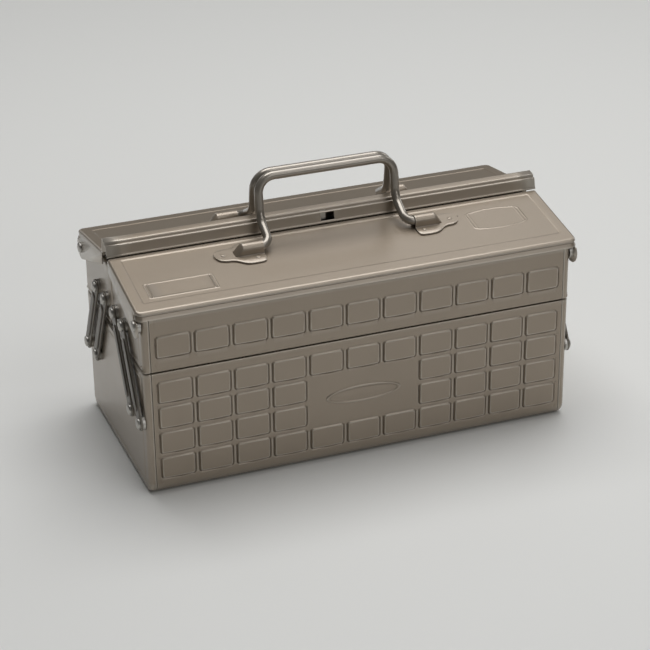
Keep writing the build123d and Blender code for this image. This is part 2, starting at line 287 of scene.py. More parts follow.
def metallic_paint(name, tone, painted_highlight_tone, painted_shade_tone, metal, gloss, coat):
    """Sprayed metallic paint: tone, with a painted highlight on raised edges and painted shade in the
    creases.
    """
    finish = Finish(name)
    cloud = finish.noise(0.011, 3.0).clipped(0.32, 0.68)
    flake = finish.noise(2.4, 1.0)
    peel = finish.noise(0.42, 2.0)
    edge = finish.node("ShaderNodeNewGeometry", {}, {}, "Pointiness")
    # Convex edges from pointiness: they get a painted highlight.
    painted_highlight_edges = edge.clipped(0.51, 0.57)
    # Concave creases from pointiness: they get painted shade.
    painted_shade_creases = 1 - edge.clipped(0.42, 0.492)
    colour = finish.blend(cloud * 0.5, tone, tuple(0.90 * c for c in tone))
    colour = finish.blend((flake - 0.5) * 0.5 + 0.25, colour, tuple(1.18 * c for c in tone))
    # Painted highlight on raised edges.
    colour = finish.blend(painted_highlight_edges * 0.8, colour, painted_highlight_tone)
    # Painted shade in the creases.
    colour = finish.blend(painted_shade_creases * 0.85, colour, painted_shade_tone)
    rub = finish.noise(0.035, 4.0, 0.6)
    finish.set(Base_Color=colour, Metallic=metal,
               Roughness=gloss + rub * 0.07 + cloud * 0.03 - painted_highlight_edges * 0.04,
               Normal=finish.raised(peel * 0.75 + flake * 0.25, 0.000028))
    finish.set(Coat_Weight=coat, Coat_Roughness=0.22, IOR=1.5)
    return finish.material


def bright_steel(name, tone):
    """Plated steel with fine turned marks and a little dulling."""
    finish = Finish(name)
    dull = finish.noise(0.22, 3.0).clipped(0.35, 0.7)
    grain = finish.noise(3.2, 1.0)
    edge = finish.node("ShaderNodeNewGeometry", {}, {}, "Pointiness").clipped(0.5, 0.62)
    colour = finish.blend(dull * 0.5, tone, tuple(0.72 * c for c in tone))
    # Lighter on convex edges: a painted highlight.
    colour = finish.blend(edge * 0.5, colour, tuple(min(1.25 * c, 0.9) for c in tone))
    finish.set(Base_Color=colour, Metallic=0.9, Roughness=0.34 + dull * 0.12,
               Normal=finish.raised(grain, 0.00002))
    return finish.material


def studio_paper():
    """Pale matt paper for the floor."""
    finish = Finish("studio_paper")
    cloud = finish.noise(0.0006, 2.0)
    tooth = finish.noise(0.9, 2.0)
    colour = finish.blend(cloud, linear(222, 222, 219), linear(226, 226, 224))
    finish.set(Base_Color=colour, Roughness=0.55 + tooth * 0.1, Normal=finish.raised(tooth, 0.00002))
    return finish.material


# In each paint, the second colour is the painted highlight on raised edges and the third is the painted shade
# in the creases.
BRONZE = metallic_paint("bronze_paint", linear(150, 137, 121), linear(196, 188, 176),
                        linear(62, 54, 43), 0.5, 0.34, 0.7)
# The arms' dark tone is partly their own darker finish and partly painted shade for the black gaps beside the
# end walls.
ARM_PAINT = metallic_paint("arm_paint", linear(88, 81, 72), linear(150, 144, 134),
                           linear(24, 21, 18), 0.6, 0.42, 0.3)
HANDLE_PAINT = metallic_paint("handle_paint", linear(138, 130, 119), linear(190, 184, 175),
                              linear(70, 62, 53), 0.65, 0.26, 1.0)
RIVET_STEEL = bright_steel("rivet_steel", linear(186, 183, 177))
PAPER = studio_paper()

floor_mesh = bpy.data.meshes.new("studio_floor")
floor_mesh.from_pydata([(-9, -9, 0), (9, -9, 0), (9, 9, 0), (-9, 9, 0)], [], [(0, 1, 2, 3)])
floor = bpy.data.objects.new("studio_floor", floor_mesh)
bpy.context.collection.objects.link(floor)
floor_mesh.materials.append(PAPER)


# ---------------------------------------------------------------- sheet work

def ease(share):
    """0 to 1, flat at both ends."""
    share = np.clip(share, 0, 1)
    return share * share * (3 - 2 * share)


def outline_distance(x, y, middle_x, middle_y, half_width, half_height, corner):
    """Distance from a rounded rectangle, negative inside."""
    dx = np.abs(x - middle_x) - half_width + corner
    dy = np.abs(y - middle_y) - half_height + corner
    return np.hypot(np.maximum(dx, 0), np.maximum(dy, 0)) + np.minimum(np.maximum(dx, dy), 0) - corner


def ruled(low, high, marks, step):
    """Lines from low to high through the marks, no further apart than step."""
    stops = [low] + sorted({round(float(m), 3) for m in marks if low + 0.02 < m < high - 0.02}) + [high]
    lines = [low]
    for start, end in zip(stops, stops[1:]):
        parts = max(1, math.ceil((end - start) / step - 0.001))
        lines += [start + (end - start) * k / parts for k in range(1, parts + 1)]
    return np.array(lines)


def both(values):
    """The values and their negatives."""
    return [sign * value for value in values for sign in (-1, 1)]


def quarter(steps):
    """Angles over a quarter turn."""
    return np.linspace(0, math.pi / 2, steps + 1)


class Blank:
    """Metal being shaped: points in millimetres and the faces between them."""

    def __init__(self):
        self.points = []
        self.faces = []

    def grid(self, points, skip=None):
        """Faces between a table of points; skip marks the ones left open."""
        rows, columns, _ = points.shape
        first = len(self.points)
        self.points += points.reshape(-1, 3).tolist()
        for row in range(rows - 1):
            for column in range(columns - 1):
                if skip is not None and skip[row, column]:
                    continue
                corner = first + row * columns + column
                self.faces.append((corner, corner + 1, corner + columns + 1, corner + columns))
        return self

    def rings(self, rings, cap_first=False, cap_last=False):
        """Faces between closed rings of points."""
        table = np.array(rings)
        self.grid(np.concatenate([table, table[:, :1]], axis=1))
        if cap_first:
            self.plate(table[0])
        if cap_last:
            self.plate(table[-1])
        return self

    def plate(self, outline):
        """One flat face inside an outline."""
        first = len(self.points)
        self.points += np.array(outline).tolist()
        self.faces.append(tuple(range(first, len(self.points))))
        return self

    def piece(self, name, body, slot, finish, nodes, turn=(1, 1), gauge=0.0, crisp=38):
        """The finished piece, mirrored by turn in x and y, on its body and in place of its nodes."""
        mesh = bpy.data.meshes.new(name)
        place = np.array(self.points) * (turn[0] * MM, turn[1] * MM, MM)
        mesh.from_pydata(place.tolist(), [], self.faces)
        work = bmesh.new()
        work.from_mesh(mesh)
        bmesh.ops.remove_doubles(work, verts=work.verts, dist=0.00001)
        bmesh.ops.dissolve_degenerate(work, edges=work.edges, dist=0.000005)
        bmesh.ops.recalc_face_normals(work, faces=work.faces)
        work.to_mesh(mesh)
        work.free()
        mesh.shade_smooth()
        mesh.set_sharp_from_angle(angle=math.radians(crisp))
        mesh.materials.append(finish)
        item = bpy.data.objects.new(name, mesh)
        bpy.context.collection.objects.link(item)
        if gauge:
            wall = item.modifiers.new("wall", "SOLIDIFY")
            wall.thickness = gauge * MM
            wall.offset = -1
        settle(item, body, slot, nodes)
        return item


def settle(item, body, slot, nodes):
    """Put a piece on its body, in place of its CAD nodes; the slot is not used."""
    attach(item, body)
    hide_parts(*nodes)


def pad_marks(middle, half):
    """Grid lines that a pad's bevel and corners need, across its middle."""
    offsets = (-0.95, -0.4, 0.0, 0.45, 0.9, 1.4, 2.2)
    return [middle + side * (half - offset) for offset in offsets for side in (-1, 1)]


def pads_on(x, z, bottoms, blank_rows):
    """How far the pressed pads stand out at x, z."""
    rise = np.zeros_like(x)
    groove = np.zeros_like(x)
    for row, bottom in enumerate(bottoms):
        for column in range(-5, 6):
            if row in blank_rows and abs(column) <= 1:
                continue
            gap = outline_distance(x, z, column * PAD_PITCH, bottom + PAD_HEIGHT / 2,
                                   PAD_WIDTH / 2, PAD_HEIGHT / 2, PAD_CORNER)
            below_top = np.clip((bottom + PAD_HEIGHT - 0.6 - z) / 1.5, 0, 1)
            sunk = PAD_GROOVE * below_top * np.clip((0.95 - gap) / 0.55, 0, 1)
            rise = np.maximum(rise, np.where(gap < 0, (PAD_RISE + sunk) * np.clip(-gap / PAD_BEVEL, 0, 1), 0))
            groove = np.maximum(groove, sunk)
    return rise - groove


def dents(x, z, places, radius, depth):
    """Round spot-weld dents."""
    sunk = np.zeros_like(x)
    for dent_x, dent_z in places:
        away = np.hypot(x - dent_x, z - dent_z) / radius
        sunk = np.maximum(sunk, depth * ease(1 - away))
    return sunk


def trough(blank, columns, front, rear, bottom, radius, front_lines, rear_lines, relief):
    """A sheet folded to a U along X, from the front rim round to the rear rim."""
    rows = [(front, z, -1.0, 0.0, 1) for z in front_lines[::-1]]
    for angle in quarter(6)[1:-1]:
        ny, nz = -math.cos(angle), -math.sin(angle)
        rows.append((front + radius + radius * ny, bottom + radius + radius * nz, ny, nz, 0))
    rows += [(y, bottom, 0.0, -1.0, 0) for y in ruled(front + radius, rear - radius, [], 16)]
    for angle in quarter(6)[1:-1]:
        ny, nz = math.sin(angle), -math.cos(angle)
        rows.append((rear - radius + radius * ny, bottom + radius + radius * nz, ny, nz, 0))
    rows += [(rear, z, 1.0, 0.0, 2) for z in rear_lines]
    path = np.array(rows)
    x, z = np.meshgrid(columns, path[:, 1])
    wall = np.repeat(path[:, 4:5], len(columns), axis=1)
    out = relief(x, z, wall) - SHEET * ease((np.abs(x) - SEAM + 0.5) / 0.35)
    y = path[:, 0:1] + path[:, 2:3] * out
    blank.grid(np.stack([x, y + 0 * x, path[:, 1:2] + path[:, 3:4] * out], axis=2))
    return path


def rolled_rim(blank, edge, outward, radius, tuck):
    """The edge points rolled inwards over the top and tucked down."""
    edge = np.array(edge)
    outward = np.array(outward)
    rows = [edge]
    for angle in np.linspace(0, math.pi, 9)[1:]:
        rows.append(edge - outward * radius * (1 - math.cos(angle)) + (0, 0, radius * math.sin(angle)))
    rows.append(rows[-1] - (0, 0, tuck))
    blank.grid(np.array(rows))


def dished_panel(blank, lay, a_lines, b_lines, inset, corner, folds, flats, flange_rows, relief, keep):
    """A panel turned down along three sides.

    lay puts a plan point and its depth in space. The flat field is ruled by a_lines and b_lines;
    round it, at b_lines[0] and both ends of a_lines, run the folds, of radius folds at the
    first side, the closed side and the last side. flange_rows gives (depth, tuck) rows below
    the fold for a station; keep says which stations have them.
    """
    a, b = np.meshgrid(a_lines, b_lines)
    blank.grid(lay(a, b, -relief(a, b)))
    stations = []
    low_a, high_a, low_b = a_lines[0], a_lines[-1], b_lines[0]
    for line in b_lines[::-1]:
        stations.append((low_a, line, -1.0, 0.0, 0.0, folds[0], "first"))
    for share in np.linspace(0, 1, 7):
        turn = share * math.pi / 2
        stations.append((low_a, low_b, -math.cos(turn), -math.sin(turn), 1.0,
                         folds[0] + share * (folds[1] - folds[0]), "corner"))
    for line in a_lines:
        stations.append((line, low_b, 0.0, -1.0, 0.0, folds[1], "closed"))
    for share in np.linspace(0, 1, 7):
        turn = share * math.pi / 2
        stations.append((high_a, low_b, math.sin(turn), -math.cos(turn), 1.0,
                         folds[1] + share * (folds[2] - folds[1]), "corner"))
    for line in b_lines:
        stations.append((high_a, line, 1.0, 0.0, 0.0, folds[2], "last"))
    table = []
    gaps = []
    for pa, pb, da, db, cornered, fold, side in stations:
        diag_a, diag_b = (math.copysign(1.0, da if abs(da) > 0.001 else db), -1.0)
        if cornered:
            diag_a = -1.0 if pa == low_a else 1.0
        steps = [(inset - (inset - fold - 0.3) * share, 0.0) for share in flats]
        steps += [(fold - fold * math.sin(t), fold * (1 - math.cos(t))) for t in quarter(FOLD_STEPS)]
        steps += [(tuck, depth) for depth, tuck in flange_rows(pa, pb, side)]
        column = []
        for number, (away, depth) in enumerate(steps):
            if cornered and away > corner:
                at_a, at_b = pa + (inset - away) * diag_a, pb + (inset - away) * diag_b
            elif cornered:
                at_a = pa + (inset - corner) * diag_a + (corner - away) * da
                at_b = pb + (inset - corner) * diag_b + (corner - away) * db
            else:
                at_a, at_b = pa + (inset - away) * da, pb + (inset - away) * db
            lift = relief(np.array(at_a), np.array(at_b)) if number < len(steps) - 1 else 0.0
            column.append(lay(np.array(at_a), np.array(at_b), np.array(depth - lift)))
        table.append(column)
        gaps.append(not keep(pa, pb, side))
    table = np.array(table).transpose(1, 0, 2)
    rows, columns, _ = table.shape
    skip = np.zeros((rows - 1, columns - 1), bool)
    fold_rows = len(flats) + FOLD_STEPS + 1
    for column in range(columns - 1):
        if gaps[column] or gaps[column + 1]:
            skip[fold_rows:, column] = True
    blank.grid(table, skip)
    return table


def wrap_columns():
    """Grid lines along X that the pads, the seams and the weld dents of a wrap need."""
    marks = [mark for column in range(-5, 6) for mark in pad_marks(column * PAD_PITCH, PAD_WIDTH / 2)]
    marks += both([SEAM - 0.5, SEAM - 0.33, SEAM - 0.15, SEAM + 0.1, SEAM - 0.8])
    marks += both([WELD_X + shift for shift in (-1.8, -0.9, 0, 0.9, 1.8)])
    return ruled(-SEAM - 1.6, SEAM + 1.6, marks, 12)


def end_flange(a, b, side):
    """The flange rows of an end panel, below its fold."""
    return [(END_FOLD + 0.3, 0), (END_REACH, 0)]


def all_round(a, b, side):
    """An end panel has its flange at every station."""
    return True


# ---------------------------------------------------------------- case

def case_wrap():
    """The case's folded front, bottom and rear with their pads."""
    welds = [(side * WELD_X, z) for side in (-1, 1) for z in (9.5, 30.0, 52.0, 74.0, 91.0)]
    columns = wrap_columns()
    heights = [mark for bottom in CASE_PAD_ROWS
               for mark in pad_marks(bottom + PAD_HEIGHT / 2, PAD_HEIGHT / 2)]
    heights += [z + shift for _, z in welds[:5] for shift in (-1.6, 0, 1.6)]
    heights += [CASE_CORNER + 0.3, 97.2, 97.7, 98.2, 98.7]
    lines = ruled(CASE_CORNER, CASE_TOP - 1.0, heights, 8)

    def relief(x, z, wall):
        out = pads_on(x, z, CASE_PAD_ROWS, (1, 2))
        out = out - dents(x, z, welds, 2.0, 0.35)
        out = out + 0.28 * ease((z - 97.2) / 1.5) * (np.abs(x) < SEAM)
        return np.where(wall > 0, out, 0.0)

    blank = Blank()
    path = trough(blank, columns, -HALF_DEPTH, HALF_DEPTH, 0.0, CASE_CORNER, lines, lines, relief)
    for row, side in ((0, -1), (len(path) - 1, 1)):
        edge = blank.points[row * len(columns):(row + 1) * len(columns)]
        rolled_rim(blank, edge, [(0, side, 0)] * len(columns), 1.0, 1.6)
    blank.piece("case_wrap", "case", "bronze_paint", BRONZE, ["case_shell"], gauge=SHEET * 0.9)


def badge():
    """A plain oval plate with a raised border, in the blank middle of the front."""
    half_width, half_height = 30.5, 7.25
    middle = (CASE_PAD_ROWS[1] + CASE_PAD_ROWS[2] + PAD_HEIGHT) / 2
    steps = [(0.0, 0.0), (0.12, 0.25), (0.4, 0.62), (0.8, 0.78), (1.3, 0.78), (1.7, 0.62),
             (2.0, 0.34), (2.3, 0.22), (2.9, 0.2), (4.2, 0.26), (5.6, 0.34), (6.6, 0.38)]
    turn = np.linspace(0, 2 * math.pi, 97)[:-1]
    rings = []
    for inward, rise in steps:
        rings.append(np.stack([(half_width - inward * 1.5) * np.cos(turn),
                               -HALF_DEPTH - rise + 0 * turn,
                               middle + (half_height - inward) * np.sin(turn)], axis=1))
    Blank().rings(rings, cap_last=True).piece("front_badge", "case", "bronze_paint", BRONZE, ["case_shell"])


def case_end(side, name):
    """An end panel of the case, turned in round the front, bottom and rear."""
    inset = CASE_CORNER
    creases = [7.6, 8.3, 9.0, 9.5]
    across = ruled(-HALF_DEPTH + inset, HALF_DEPTH - inset,
                   both([HALF_DEPTH - c for c in creases + [10.2, 11.0]]), 9)
    heights = [9.6, 10.2, 10.9, 11.6, 12.4, 13.0, 93.4, 94.0, 94.6, 95.2, 95.8, 96.6, 97.2, 97.8, 98.4]
    up_lines = ruled(inset, CASE_TOP - 1.0, heights, 9)

    def relief(y, z):
        field = ease((HALF_DEPTH - 9.0 - np.abs(y)) / 1.6) * ease((z - 10.6) / 1.6)
        low_bead = 0.45 * ease(1 - np.abs(z - 7.4) / 1.1) * ease((HALF_DEPTH - 9 - np.abs(y)) / 3)
        top_bead = 0.5 * ease(1 - np.abs(z - 95.2) / 1.3) * ease((HALF_DEPTH - 7 - np.abs(y)) / 5)
        return 0.4 * field + low_bead + top_bead

    def lay(y, z, depth):
        return np.stack([HALF_LENGTH - depth + 0 * y, y + 0 * depth, z + 0 * depth], axis=-1)

    blank = Blank()
    table = dished_panel(
        blank, lay, across, up_lines, inset, CASE_CORNER, (END_FOLD,) * 3,
        (0.0, 0.18, 0.3, 0.42, 0.6, 0.8, 1.0), end_flange, relief, all_round)
    edge = list(table[::-1, 0]) + [(HALF_LENGTH, y, up_lines[-1]) for y in across[1:-1]] + list(table[:, -1])
    outward = []
    for x, y, z in edge:
        lean = np.array([max(x - (HALF_LENGTH - END_FOLD), 0.0),
                         math.copysign(max(abs(y) - (HALF_DEPTH - END_FOLD), 0.0), y), 0.0])
        outward.append(lean / np.linalg.norm(lean))
    rolled_rim(blank, edge, outward, 1.0, 1.6)
    blank.piece(name + "_panel", "case", "bronze_paint", BRONZE, [name], turn=(side, 1), gauge=SHEET * 0.9)


case_wrap()
badge()
case_end(-1, "case_end_left")
case_end(1, "case_end_right")


# ---------------------------------------------------------------- trays

def tray_wrap(name, body, side):
    """A tray's folded front, bottom and taller inner wall."""
    welds = [(end * WELD_X, z) for end in (-1, 1) for z in (107.5, 124.0, 141.0)]
    columns = wrap_columns()
    heights = pad_marks(TRAY_PAD_ROW + PAD_HEIGHT / 2, PAD_HEIGHT / 2)
    heights += [z + shift for _, z in welds[:3] for shift in (-1.6, 0, 1.6)]
    front_lines = ruled(TRAY_BOTTOM + TRAY_BEND, TRAY_RIM, heights + [TRAY_BOTTOM + TRAY_BEND + 0.3], 8)
    rear_lines = ruled(TRAY_BOTTOM + TRAY_BEND, TRAY_CENTRE_RIM, [TRAY_BOTTOM + TRAY_BEND + 0.3], 12)

    def relief(x, z, wall):
        out = pads_on(x, z, (TRAY_PAD_ROW,), ()) - dents(x, z, welds, 2.0, 0.35)
        return np.where(wall == 1, out, 0.0)

    blank = Blank()
    trough(blank, columns, -HALF_DEPTH, -TRAY_INNER, TRAY_BOTTOM, TRAY_BEND, front_lines, rear_lines, relief)
    blank.piece(name + "_tray_wrap", body, "bronze_paint", BRONZE, [name + "_tray_shell"],
                turn=(1, side), gauge=SHEET * 0.9)


def tray_end(name, body, side, end, end_name):
    """A tray's end panel with a gable that follows the lid."""
    inset = 6.0
    warp = 38.0
    full = TRAY_RIM - TRAY_BOTTOM
    across = ruled(-HALF_DEPTH + inset, -TRAY_INNER - inset,
                   [-HALF_DEPTH + s for s in (7.6, 8.3, 9.0, 9.8, 10.6)]
                   + [-GABLE_FLAT - 0.02, -GABLE_FLAT + 0.02], 8)
    up_lines = ruled(inset, full, [7.0, 7.7, 8.4, 9.2, warp], 8)

    def relief(y, rise):
        field = (ease((HALF_DEPTH - 8.2 + y) / 1.6) * ease((rise - 6.6) / 1.6)
                 * ease((-y - TRAY_INNER - 4.4) / 1.4))
        bead = 0.4 * ease(1 - np.abs(rise - 4.2) / 1.1) * ease((HALF_DEPTH - 6 + y) / 3)
        return 0.35 * field + bead * ease((-y - TRAY_INNER - 3) / 2)

    def lay(y, rise, depth):
        top = np.where(np.abs(y) > GABLE_FLAT, TRAY_RIM + (HALF_DEPTH - np.abs(y)) * math.tan(SLOPE) - 0.3,
                       TRAY_CENTRE_RIM)
        stretch = (top - TRAY_BOTTOM - warp) / (full - warp)
        z = TRAY_BOTTOM + np.where(rise > warp, warp + (rise - warp) * stretch, rise)
        return np.stack([HALF_LENGTH - depth + 0 * y, y + 0 * depth, z + 0 * depth], axis=-1)

    blank = Blank()
    dished_panel(
        blank, lay, across, up_lines, inset, 2.0, (END_FOLD, TRAY_BEND, 2.5), (0.0, 0.25, 0.5, 0.75, 1.0),
        end_flange, relief, all_round)
    blank.piece(name + "_tray_panel_" + end_name, body, "bronze_paint", BRONZE,
                [name + "_tray_end_" + end_name], turn=(end, side), gauge=SHEET * 0.9)


for name, side in (("front", 1), ("rear", -1)):
    tray_wrap(name, name + "_tray", side)
    tray_end(name, name + "_tray", side, -1, "left")
    tray_end(name, name + "_tray", side, 1, "right")


# ---------------------------------------------------------------- lids

def ear_touch():
    """Where a lid's end flange, sloping down from the middle, meets the ear's circle."""
    reach = math.hypot(HINGE_Y - LID_INNER, FLANGE_END - HINGE_Z)
    lean = math.atan2(FLANGE_END - HINGE_Z, HINGE_Y - LID_INNER) + math.asin(EAR / reach)
    return -HINGE_Y + EAR * math.sin(lean), HINGE_Z - EAR * math.cos(lean)


def lid(name, body, side, plain):
    """A lid: sunk field, turned lip and end flanges with ears; unless plain, with two outlines."""
    width = LID_FRONT - LID_INNER
    along = 1 / math.cos(SLOPE)
    field_marks = both([164.6, 165.0, 165.4, 165.8, 166.2, 166.5])
    plaque_a, plaque_b = (-159.4, -106.3, 17.0, 36.0), (105.5, 150.5, 33.0, 60.5)
    b_marks = [11.3, 11.6, 12.0, 12.4, 12.8, 13.3, 68.8, 69.2, 69.6, 70.0, 70.4, 70.8]
    if not plain:
        for shift in (-0.7, -0.45, -0.2, 0.05, 0.3, 0.8, 2.4, 2.65, 2.9, 3.15, 3.4):
            field_marks += [plaque_a[0] + shift, plaque_a[1] - shift]
            b_marks += [plaque_a[2] + shift, plaque_a[3] - shift]
        field_marks += list(np.arange(104.5, 152.0, 0.5))
        b_marks += list(np.arange(31.8, 62.0, 0.5))
    ear_marks = [LID_FRONT - HINGE_Y - shift for shift in (-3, 1, 2, 3)]
    a_lines = ruled(-HALF_LID + LID_CORNER, HALF_LID - LID_CORNER, field_marks, 10)
    b_lines = ruled(LID_CORNER, width - 0.8, b_marks + ear_marks + [LID_CORNER + 0.8], 8)

    def fine_line(gap, half=0.5):
        return 0.3 * ease(1 - np.abs(gap) / half)

    def relief(x, b):
        s = b * along
        field = outline_distance(x, s, 0, 41.4, 166.4, 29.8, 2.0)
        rise = 0.15 - 0.4 * ease(-field / 0.9)
        if plain:
            return rise
        low, high, start, end = plaque_a
        middle_a, half_a = (low + high) / 2, (high - low) / 2
        gap = outline_distance(x, s, middle_a, (start + end) / 2, half_a, (end - start) / 2, 1.6)
        bars = np.abs(np.abs(x - middle_a) - half_a + 2.9)
        rise = rise + fine_line(gap + 0.2) + fine_line(bars) * (gap < -0.8)
        low, high, start, end = plaque_b
        bow = 3.2 * (1 - ((x - (low + high) / 2) / ((high - low) / 2)) ** 2)
        middle = (start + end) / 2
        tall = (end - start) / 2 - 3.2 + np.clip(bow, 0, 4)
        ends = np.abs(x - (low + high) / 2) - (high - low) / 2
        sides = np.abs(s - middle) - tall
        gap = np.maximum(ends, sides) + 0.6 * ease(1 - np.abs(ends - sides) / 2.2)
        return rise + fine_line(gap + 0.4, 0.65) + fine_line(ends + 2.8) * (gap < -0.8)

    def lay(x, b, depth):
        z = LID_EDGE + b * math.tan(SLOPE) - depth
        return np.stack([x + 0 * z, b - LID_FRONT + 0 * z, z], axis=-1)

    def flange_rows(a, b, where):
        if where in ("first", "last"):
            return [(LID_FOLD + 0.3, 0)] * 10
        full = LID_EDGE - LIP_BOTTOM
        return [(LID_FOLD + 0.1, 0.3), (LID_FOLD + 0.3, 1.2), (LID_FOLD + 0.6, 1.3), (LID_FOLD + 0.85, 0.95),
                (LID_FOLD + 1.3, 0.7), (LID_FOLD + 2.0, 0.35), (LID_FOLD + 2.9, -0.1), (full - 0.5, -0.5),
                (full - 0.15, -0.35), (full, 0.1)]

    def keep(a, b, where):
        return where in ("corner", "closed") and not (where == "closed" and b < 0)

    blank = Blank()
    flats = (0.0, 0.5, 1.0)
    table = dished_panel(blank, lay, a_lines, b_lines, LID_CORNER, LID_CORNER,
                         (END_LID_FOLD, LID_FOLD, END_LID_FOLD), flats, flange_rows, relief, keep)
    support = len(flats) + FOLD_STEPS + 1
    seam_length = len(b_lines)
    slit = 0.8
    for end in (-1, 1):
        seam_points = table[support, ::-end][:seam_length]
        under = [p for p in seam_points if p[1] > -LID_FRONT + LID_CORNER + slit - 0.05]
        touch_y, touch_z = ear_touch()
        outline = [tuple(p) for p in under]
        x = end * HALF_LID
        start_y = under[-1][1]
        outline.append((x, start_y, LIP_BOTTOM - SHEET))
        top_angle = math.asin((LIP_BOTTOM - SHEET - HINGE_Z) / EAR)
        first = math.pi - top_angle
        finish = math.atan2(touch_z - HINGE_Z, touch_y + HINGE_Y) + 2 * math.pi
        for turn in np.linspace(first, finish, 22):
            outline.append((x, -HINGE_Y + EAR * math.cos(turn), HINGE_Z + EAR * math.sin(turn)))
        outline.append((x, -LID_INNER - SHEET, FLANGE_END))
        blank.plate(outline)
    inner = np.array([table[k, 0] for k in range(support, -1, -1)]
                     + [lay(np.array(x), np.array(b_lines[-1]), -relief(np.array(x), np.array(b_lines[-1])))
                        for x in a_lines[1:-1]]
                     + [table[k, -1] for k in range(0, support + 1)])
    rows = [inner]
    for turn in quarter(4)[1:]:
        rows.append(inner + (0, 0.8 * math.sin(turn), -0.8 * (1 - math.cos(turn))))
    rows.append(rows[-1] - (0, 0, 2.4))
    blank.grid(np.array(rows))
    blank.piece(name + "_lid_sheet", body, "bronze_paint", BRONZE, [name + "_lid"], turn=(1, side),
                gauge=SHEET * 0.9)


def ridge_cap():
    """The open-ended cap along the rear lid's inner edge, with a lock slot in its front."""
    low_slot, high_slot, half_slot = 166.6, 172.6, 5.5
    section = [(9.2, 163.95), (8.0, 164.1), (7.4, 164.35), (7.2, 165.0), (5.5, 174.2), (5.2, 175.3),
               (4.7, 176.0), (4.0, 176.35), (3.2, 176.3), (0.8, 175.95), (-1.5, 175.65), (-2.0, 175.5),
               (-2.4, 175.15), (-2.6, 174.6), (-2.72, 174.0), (-2.85, 173.45), (-3.1, 173.25), (-3.5, 173.4),
               (-4.2, 173.55), (-4.75, 173.4), (-5.05, 173.1), (-5.15, high_slot), (-5.9, 169.6),
               (-6.62, low_slot), (-6.7, 166.35), (-6.8, 166.05), (-7.15, 165.9), (-7.32, 165.5),
               (-7.32, 165.0),
               (-7.2, 164.6), (-6.9, 164.45)]
    columns = ruled(-HALF_LID, HALF_LID, both([half_slot, half_slot + 0.4, half_slot - 0.4]) + [0], 14)
    path = np.array(section)
    x, z = np.meshgrid(columns, path[:, 1])
    y = np.repeat(path[:, 0:1], len(columns), axis=1)
    skip = np.zeros((len(section) - 1, len(columns) - 1), bool)
    for row in range(len(section) - 1):
        (y_here, z_here), (_, z_next) = section[row], section[row + 1]
        if z_here <= high_slot + 0.01 and z_next >= low_slot - 0.01 and y_here < 0:
            skip[row] = np.abs((columns[1:] + columns[:-1]) / 2) < half_slot
    blank = Blank().grid(np.stack([x, y, z], axis=2), skip)
    blank.piece("ridge_cap", "rear_lid", "bronze_paint", BRONZE, ["rear_lid"], gauge=SHEET, crisp=50)


lid("front", "front_lid", 1, plain=False)
lid("rear", "rear_lid", -1, plain=True)
ridge_cap()


# ---------------------------------------------------------------- arms

def stadium(length, radius, along, count=20):
    """Points round a slot shape of the given centre distance, along its own axis."""
    turns = np.linspace(-math.pi / 2, math.pi / 2, count)
    upper = np.stack([along + length + radius * np.cos(turns), radius * np.sin(turns)], axis=1)
    turns = turns + math.pi
    lower = np.stack([along + radius * np.cos(turns), radius * np.sin(turns)], axis=1)
    return np.concatenate([upper, lower])


def swing_arm(name, body, side, end, end_name, top_y, bottom_y):
    """A pressed arm with rolled edges and a raised rib between its pivots."""
    start = Vector((0, -bottom_y, PIVOT_BOTTOM))
    axis = Vector((0, -top_y, PIVOT_TOP)) - start
    length = axis.length
    axis.normalize()
    across = Vector((0, -axis.z, axis.y))
    radius = ARM_WIDTH / 2
    rib = 13.0
    loops = [(0, radius - 0.25, 0.0), (0, radius, 0.25), (0, radius, ARM_GAUGE - 0.55),
             (0, radius - 0.14, ARM_GAUGE - 0.2), (0, radius - 0.45, ARM_GAUGE),
             (0, radius - 0.8, ARM_GAUGE), (0, radius - 1.4, ARM_GAUGE - 0.02),
             (rib, 4.1, ARM_GAUGE), (rib, 3.85, ARM_GAUGE - 0.4), (rib, 3.6, ARM_GAUGE - 0.4),
             (rib, 3.3, ARM_GAUGE + 0.5), (rib, 3.0, ARM_GAUGE + 0.9), (rib, 2.6, ARM_GAUGE + RIB_RISE),
             (rib, 1.4, ARM_GAUGE + RIB_RISE), (rib, 0.6, ARM_GAUGE + RIB_RISE)]
    rings = []
    for inward, round_radius, height in loops:
        ring = []
        for u, v in stadium(length - 2 * inward, round_radius, inward):
            point = start + axis * u + across * v
            ring.append((ARM_INSIDE + height, point.y, point.z))
        rings.append(ring)
    Blank().rings(rings, cap_first=True, cap_last=True).piece(
        f"{name}_strip_{end_name}", body, "arm_paint", ARM_PAINT, [f"{name}_{end_name}"], turn=(end, side))


for name, side in (("front", 1), ("rear", -1)):
    for end, end_name in ((-1, "left"), (1, "right")):
        swing_arm(name + "_inner_arm", name + "_inner_arms", side, end, end_name, INNER_TOP, INNER_BOTTOM)
        swing_arm(name + "_outer_arm", name + "_outer_arms", side, end, end_name, OUTER_TOP, OUTER_BOTTOM)


# ---------------------------------------------------------------- handles and brackets

def bent_route(points, radii):
    """The middle line of a bar through the points, rounded at each inner one."""
    points = [Vector(p) for p in points]
    route = [points[0]]
    for before, here, after, radius in zip(points, points[1:], points[2:], radii):
        towards, away = (before - here).normalized(), (after - here).normalized()
        half = towards.angle(away) / 2
        middle = here + (towards + away).normalized() * (radius / math.sin(half))
        start = here + towards * (radius / math.tan(half))
        end = here + away * (radius / math.tan(half))
        from_middle, to_middle = start - middle, end - middle
        sweep = from_middle.angle(to_middle)
        steps = max(3, math.ceil(sweep / math.radians(7)))
        route.append(start + towards * 0.6)
        for k in range(steps + 1):
            share = k / steps
            route.append(middle + from_middle * (math.sin((1 - share) * sweep) / math.sin(sweep))
                         + to_middle * (math.sin(share * sweep) / math.sin(sweep)))
        route.append(end + away * 0.6)
    route.append(points[-1])
    return route


